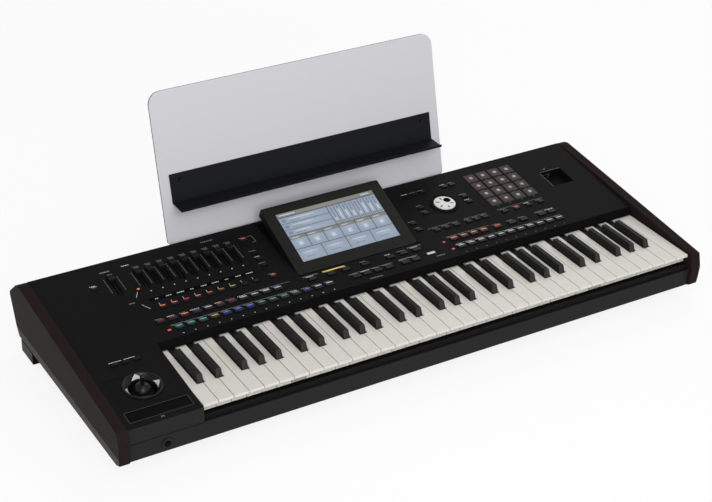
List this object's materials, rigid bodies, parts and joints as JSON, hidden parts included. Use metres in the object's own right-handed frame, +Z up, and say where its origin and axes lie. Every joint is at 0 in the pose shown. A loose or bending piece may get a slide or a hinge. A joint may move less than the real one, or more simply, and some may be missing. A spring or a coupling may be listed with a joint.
{
  "type": "arranger keyboard",
  "caption": "Arranger keyboard with hinged piano-style keys, sliding faders, a dial, pads and buttons, a joystick, a tilting display and a lift-off music stand.",
  "frame": {"origin": "the middle of the footprint, on the surface that the feet stand on", "axes": "+X along the keys towards the high notes, +Y from the player towards the back, +Z up"},
  "size_m": [0.9944, 0.431, 0.3458],
  "materials": {
    "panel_black": "fine textured black paint",
    "case_plastic": "satin black",
    "end_brown": "satin dark brown",
    "white_plastic": "semi-gloss off-white",
    "black_plastic": "matt black",
    "steel": "bright zinc",
    "nickel": "nickel plate",
    "board_green": "solder mask",
    "supply_metal": "plain sheet",
    "black_moulding": "moulded black",
    "black_rubber": "matt",
    "pad_rubber": "translucent grey",
    "fader_plastic": "satin black",
    "button_plastic": "translucent dark grey",
    "dial_metal": "spun bright",
    "stick_plastic": "black",
    "strip_plastic": "satin black",
    "bezel_gloss": "gloss dark grey",
    "screen_glass": "lit screen under glass",
    "stand_sheet": "pale grey paint",
    "stand_black": "satin black"
  },
  "bodies": {
    "case": {"lower_case": "case_plastic", "upper_case": "panel_black", "left_end_panel": "end_brown", "right_end_panel": "end_brown", "rear_panel": "case_plastic", "key_slip": "black_moulding", "joystick_panel": "case_plastic", "touch_strip": "strip_plastic", "display_tub": "case_plastic", "display_hinge_pins": "steel", "key_frame": "steel", "key_pivot_rod": "steel", "key_contact_board": "board_green", "main_board": "board_green", "power_supply": "supply_metal", "panel_boards": "board_green", "fader_units": "black_moulding", "dial_encoder": "black_moulding", "jack_sockets": "nickel", "mains_inlet": "black_moulding", "usb_socket": "steel", "case_screws": "steel", "feet": "black_rubber", "stand_sockets": "case_plastic", "joystick_housing": "case_plastic"},
    "white_keys_c": {"white_keys_c": "white_plastic"},
    "white_keys_d": {"white_keys_d": "white_plastic"},
    "white_keys_e": {"white_keys_e": "white_plastic"},
    "white_keys_f": {"white_keys_f": "white_plastic"},
    "white_keys_g": {"white_keys_g": "white_plastic"},
    "white_keys_a": {"white_keys_a": "white_plastic"},
    "white_keys_b": {"white_keys_b": "white_plastic"},
    "black_keys_c_sharp": {"black_keys_c_sharp": "black_plastic"},
    "black_keys_d_sharp": {"black_keys_d_sharp": "black_plastic"},
    "black_keys_f_sharp": {"black_keys_f_sharp": "black_plastic"},
    "black_keys_g_sharp": {"black_keys_g_sharp": "black_plastic"},
    "black_keys_a_sharp": {"black_keys_a_sharp": "black_plastic"},
    "joystick_gimbal": {"joystick_gimbal": "black_moulding"},
    "joystick_stick": {"joystick_stick": "stick_plastic"},
    "volume_fader": {"volume_fader": "fader_plastic"},
    "mixer_fader_1": {"mixer_fader_1": "fader_plastic"},
    "mixer_fader_2": {"mixer_fader_2": "fader_plastic"},
    "mixer_fader_3": {"mixer_fader_3": "fader_plastic"},
    "mixer_fader_4": {"mixer_fader_4": "fader_plastic"},
    "mixer_fader_5": {"mixer_fader_5": "fader_plastic"},
    "mixer_fader_6": {"mixer_fader_6": "fader_plastic"},
    "mixer_fader_7": {"mixer_fader_7": "fader_plastic"},
    "mixer_fader_8": {"mixer_fader_8": "fader_plastic"},
    "mixer_fader_9": {"mixer_fader_9": "fader_plastic"},
    "value_dial": {"value_dial": "dial_metal"},
    "mixer_buttons": {"mixer_buttons": "button_plastic"},
    "rhythm_buttons": {"rhythm_buttons": "button_plastic"},
    "sound_buttons": {"sound_buttons": "button_plastic"},
    "pads": {"pads": "pad_rubber"},
    "cheek_buttons": {"cheek_buttons": "button_plastic"},
    "display": {"display_housing": "bezel_gloss", "display_screen": "screen_glass"},
    "music_stand": {"stand_plate": "stand_sheet", "stand_ledge": "stand_black", "stand_legs": "stand_black"}
  },
  "joints": [
    {"name": "joystick_fore_aft", "type": "hinge", "parent": "case", "child": "joystick_gimbal", "pos_m": [-0.4234, -0.12786, 0.05824], "axis": [1, 0, 0], "range_deg": [-12, 12], "stiffness_Nm_per_rad": 0.25},
    {"name": "joystick_left_right", "type": "hinge", "parent": "joystick_gimbal", "child": "joystick_stick", "pos_m": [-0.4234, -0.12786, 0.05824], "axis": [0, 0.9952, 0.0982], "range_deg": [-12, 12], "stiffness_Nm_per_rad": 0.25},
    {"name": "display_tilt", "type": "hinge", "parent": "case", "child": "display", "pos_m": [0, 0.01275, 0.09361], "axis": [1, 0, 0], "range_deg": [-14.7, 8]},
    {"name": "music_stand_lift", "type": "slide", "parent": "case", "child": "music_stand", "axis": [0, 0.23, 0.9732], "range_m": [0, 0.044]},
    {"name": "white_keys_c_press", "type": "hinge", "parent": "case", "child": "white_keys_c", "pos_m": [0, 0.00186, 0.069], "axis": [1, 0, 0], "range_deg": [0, 2.8], "stiffness_Nm_per_rad": 3, "springref_deg": -6.88},
    {"name": "white_keys_d_press", "type": "hinge", "parent": "case", "child": "white_keys_d", "pos_m": [0, 0.00186, 0.069], "axis": [1, 0, 0], "range_deg": [0, 2.8], "stiffness_Nm_per_rad": 3, "springref_deg": -6.88},
    {"name": "white_keys_e_press", "type": "hinge", "parent": "case", "child": "white_keys_e", "pos_m": [0, 0.00186, 0.069], "axis": [1, 0, 0], "range_deg": [0, 2.8], "stiffness_Nm_per_rad": 3, "springref_deg": -6.88},
    {"name": "white_keys_f_press", "type": "hinge", "parent": "case", "child": "white_keys_f", "pos_m": [0, 0.00186, 0.069], "axis": [1, 0, 0], "range_deg": [0, 2.8], "stiffness_Nm_per_rad": 3, "springref_deg": -6.88},
    {"name": "white_keys_g_press", "type": "hinge", "parent": "case", "child": "white_keys_g", "pos_m": [0, 0.00186, 0.069], "axis": [1, 0, 0], "range_deg": [0, 2.8], "stiffness_Nm_per_rad": 3, "springref_deg": -6.88},
    {"name": "white_keys_a_press", "type": "hinge", "parent": "case", "child": "white_keys_a", "pos_m": [0, 0.00186, 0.069], "axis": [1, 0, 0], "range_deg": [0, 2.8], "stiffness_Nm_per_rad": 3, "springref_deg": -6.88},
    {"name": "white_keys_b_press", "type": "hinge", "parent": "case", "child": "white_keys_b", "pos_m": [0, 0.00186, 0.069], "axis": [1, 0, 0], "range_deg": [0, 2.8], "stiffness_Nm_per_rad": 3, "springref_deg": -6.88},
    {"name": "black_keys_c_sharp_press", "type": "hinge", "parent": "case", "child": "black_keys_c_sharp", "pos_m": [0, 0.00186, 0.069], "axis": [1, 0, 0], "range_deg": [0, 2.8], "stiffness_Nm_per_rad": 3, "springref_deg": -6.88},
    {"name": "black_keys_d_sharp_press", "type": "hinge", "parent": "case", "child": "black_keys_d_sharp", "pos_m": [0, 0.00186, 0.069], "axis": [1, 0, 0], "range_deg": [0, 2.8], "stiffness_Nm_per_rad": 3, "springref_deg": -6.88},
    {"name": "black_keys_f_sharp_press", "type": "hinge", "parent": "case", "child": "black_keys_f_sharp", "pos_m": [0, 0.00186, 0.069], "axis": [1, 0, 0], "range_deg": [0, 2.8], "stiffness_Nm_per_rad": 3, "springref_deg": -6.88},
    {"name": "black_keys_g_sharp_press", "type": "hinge", "parent": "case", "child": "black_keys_g_sharp", "pos_m": [0, 0.00186, 0.069], "axis": [1, 0, 0], "range_deg": [0, 2.8], "stiffness_Nm_per_rad": 3, "springref_deg": -6.88},
    {"name": "black_keys_a_sharp_press", "type": "hinge", "parent": "case", "child": "black_keys_a_sharp", "pos_m": [0, 0.00186, 0.069], "axis": [1, 0, 0], "range_deg": [0, 2.8], "stiffness_Nm_per_rad": 3, "springref_deg": -6.88},
    {"name": "volume_fader_slide", "type": "slide", "parent": "case", "child": "volume_fader", "axis": [0, 0.9919, 0.1271], "range_m": [-0.04, 0]},
    {"name": "mixer_fader_1_slide", "type": "slide", "parent": "case", "child": "mixer_fader_1", "axis": [0, 0.9919, 0.1271], "range_m": [-0.04, 0]},
    {"name": "mixer_fader_2_slide", "type": "slide", "parent": "case", "child": "mixer_fader_2", "axis": [0, 0.9919, 0.1271], "range_m": [-0.04, 0]},
    {"name": "mixer_fader_3_slide", "type": "slide", "parent": "case", "child": "mixer_fader_3", "axis": [0, 0.9919, 0.1271], "range_m": [-0.04, 0]},
    {"name": "mixer_fader_4_slide", "type": "slide", "parent": "case", "child": "mixer_fader_4", "axis": [0, 0.9919, 0.1271], "range_m": [-0.04, 0]},
    {"name": "mixer_fader_5_slide", "type": "slide", "parent": "case", "child": "mixer_fader_5", "axis": [0, 0.9919, 0.1271], "range_m": [-0.04, 0]},
    {"name": "mixer_fader_6_slide", "type": "slide", "parent": "case", "child": "mixer_fader_6", "axis": [0, 0.9919, 0.1271], "range_m": [-0.04, 0]},
    {"name": "mixer_fader_7_slide", "type": "slide", "parent": "case", "child": "mixer_fader_7", "axis": [0, 0.9919, 0.1271], "range_m": [-0.04, 0]},
    {"name": "mixer_fader_8_slide", "type": "slide", "parent": "case", "child": "mixer_fader_8", "axis": [0, 0.9919, 0.1271], "range_m": [-0.04, 0]},
    {"name": "mixer_fader_9_slide", "type": "slide", "parent": "case", "child": "mixer_fader_9", "axis": [0, 0.9919, 0.1271], "range_m": [-0.04, 0]},
    {"name": "value_dial_turn", "type": "hinge", "parent": "case", "child": "value_dial", "pos_m": [0.20045, 0.07481, 0.10812], "axis": [0, -0.1271, 0.9919], "continuous": true},
    {"name": "mixer_buttons_press", "type": "slide", "parent": "case", "child": "mixer_buttons", "axis": [0, -0.1271, 0.9919], "range_m": [-0.0012, 0], "stiffness_N_per_m": 600, "springref_m": 0.0015},
    {"name": "rhythm_buttons_press", "type": "slide", "parent": "case", "child": "rhythm_buttons", "axis": [0, -0.1271, 0.9919], "range_m": [-0.0012, 0], "stiffness_N_per_m": 600, "springref_m": 0.0015},
    {"name": "sound_buttons_press", "type": "slide", "parent": "case", "child": "sound_buttons", "axis": [0, -0.1271, 0.9919], "range_m": [-0.0012, 0], "stiffness_N_per_m": 600, "springref_m": 0.0015},
    {"name": "pads_press", "type": "slide", "parent": "case", "child": "pads", "axis": [0, -0.1271, 0.9919], "range_m": [-0.0012, 0], "stiffness_N_per_m": 600, "springref_m": 0.0015},
    {"name": "cheek_buttons_press", "type": "slide", "parent": "case", "child": "cheek_buttons", "axis": [0, -0.0982, 0.9952], "range_m": [-0.0012, 0], "stiffness_N_per_m": 200, "springref_m": 0.002}
  ]
}
